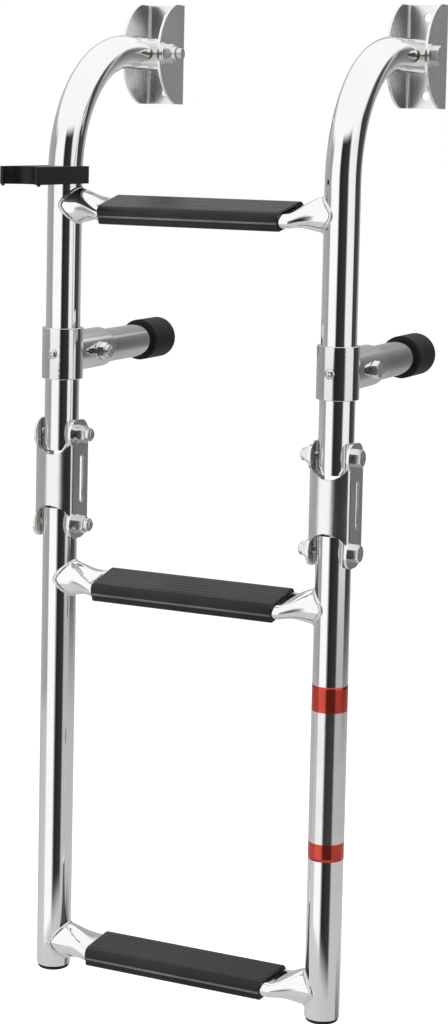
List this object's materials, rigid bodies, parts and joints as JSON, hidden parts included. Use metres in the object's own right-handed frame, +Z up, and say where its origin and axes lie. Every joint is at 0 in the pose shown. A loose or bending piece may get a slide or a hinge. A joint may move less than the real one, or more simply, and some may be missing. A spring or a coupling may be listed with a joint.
{
  "type": "boat ladder",
  "caption": "Folding tubular boarding ladder with hooked rails on swivel brackets, flattened treads with ribbed covers, rubber-tipped standoffs and a fold-up lower section.",
  "frame": {"origin": "centre of the left mounting bracket's flat back face, level with the pivot bolts", "axes": "+X along the treads from the left rail to the right rail as the climber sees them, +Y into the boat's transom, +Z up along the rails"},
  "size_m": [0.268, 0.2287, 0.7283],
  "materials": {
    "tube_steel": "polished",
    "sheet_steel": "polished",
    "fasteners": "plain",
    "black_plastic": "satin",
    "tip_rubber": "matte"
  },
  "bodies": {
    "mounting_brackets": {"left_mounting_bracket": "sheet_steel", "left_pivot_bolt": "fasteners", "left_pivot_nut": "fasteners", "left_pivot_washers": "fasteners", "right_mounting_bracket": "sheet_steel", "right_pivot_bolt": "fasteners", "right_pivot_nut": "fasteners", "right_pivot_washers": "fasteners"},
    "upper_section": {"left_upper_rail": "tube_steel", "left_standoff_collar": "tube_steel", "left_standoff_arm": "tube_steel", "left_standoff_tip": "tip_rubber", "left_standoff_screw": "fasteners", "left_standoff_bolt": "fasteners", "left_standoff_nut": "fasteners", "right_upper_rail": "tube_steel", "right_standoff_collar": "tube_steel", "right_standoff_arm": "tube_steel", "right_standoff_tip": "tip_rubber", "right_standoff_screw": "fasteners", "right_standoff_bolt": "fasteners", "right_standoff_nut": "fasteners", "top_tread": "tube_steel", "top_tread_cover": "black_plastic", "rail_clip": "black_plastic"},
    "hinge_brackets": {"left_hinge_bracket": "sheet_steel", "left_upper_hinge_bolt": "fasteners", "left_upper_hinge_nut": "fasteners", "left_lower_hinge_bolt": "fasteners", "left_lower_hinge_nut": "fasteners", "right_hinge_bracket": "sheet_steel", "right_upper_hinge_bolt": "fasteners", "right_upper_hinge_nut": "fasteners", "right_lower_hinge_bolt": "fasteners", "right_lower_hinge_nut": "fasteners"},
    "lower_section": {"left_lower_rail": "tube_steel", "left_foot_plug": "black_plastic", "right_lower_rail": "tube_steel", "right_foot_plug": "black_plastic", "middle_tread": "tube_steel", "middle_tread_cover": "black_plastic", "bottom_tread": "tube_steel", "bottom_tread_cover": "black_plastic"}
  },
  "joints": [
    {"name": "ladder_swing", "type": "hinge", "parent": "mounting_brackets", "child": "upper_section", "pos_m": [0.11, -0.0375, 0], "axis": [-1, 0, 0], "range_deg": [0, 110]},
    {"name": "bracket_fold", "type": "hinge", "parent": "upper_section", "child": "hinge_brackets", "pos_m": [0.11, -0.1615, -0.2833], "axis": [-1, 0, 0], "range_deg": [0, 90]},
    {"name": "lower_fold", "type": "hinge", "parent": "hinge_brackets", "child": "lower_section", "pos_m": [0.11, -0.1615, -0.3505], "axis": [-1, 0, 0], "range_deg": [0, 90]}
  ]
}
